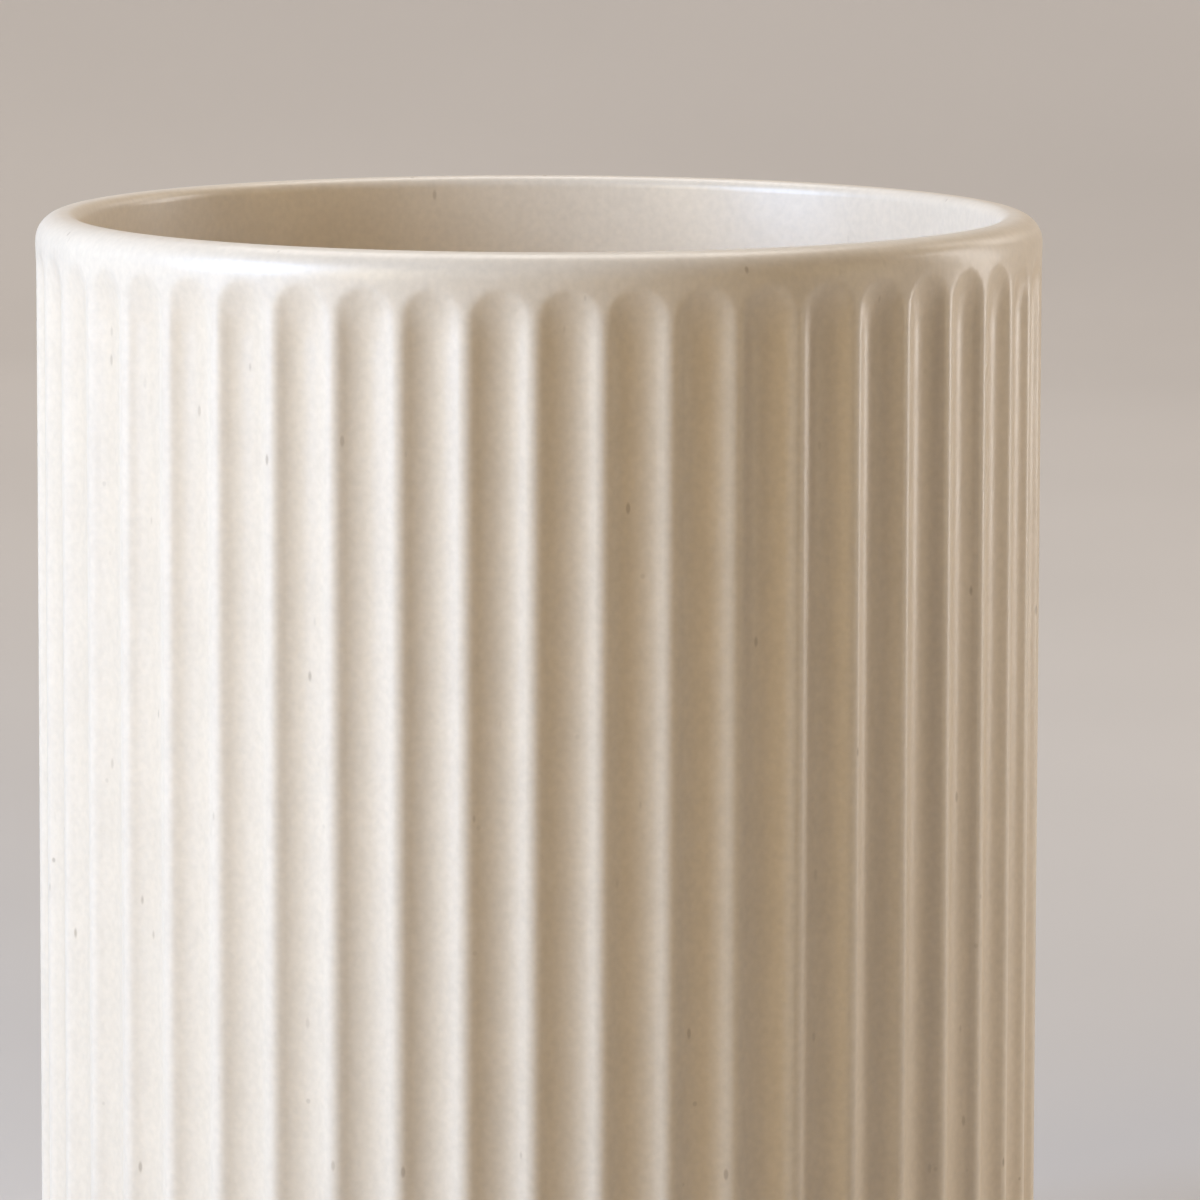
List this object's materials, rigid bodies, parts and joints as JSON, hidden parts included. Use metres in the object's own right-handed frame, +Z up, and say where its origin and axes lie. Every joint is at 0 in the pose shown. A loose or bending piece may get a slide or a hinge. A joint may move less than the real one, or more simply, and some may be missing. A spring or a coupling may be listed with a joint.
{
  "type": "utensil crock",
  "caption": "Round open-topped stoneware crock with a fluted wall, rounded rim and cork base pad, standing on a worktop to hold cooking utensils upright.",
  "frame": {"origin": "on the crock's axis, in the plane that the cork pad rests on", "axes": "+Z up along the crock's axis; +X and -Y each point along the middle of a flute"},
  "size_m": [0.15, 0.15, 0.18],
  "materials": {
    "glazed_stoneware": "satin warm-white glaze over stoneware, pooled a little darker in the flutes, with sparse fine specks",
    "adhesive_film": "matt translucent double-sided film",
    "cork": "pressed cork granules, matt"
  },
  "bodies": {
    "root": {"stoneware_crock": "glazed_stoneware", "pad_adhesive_disc": "adhesive_film", "cork_base_pad": "cork"}
  },
  "joints": []
}
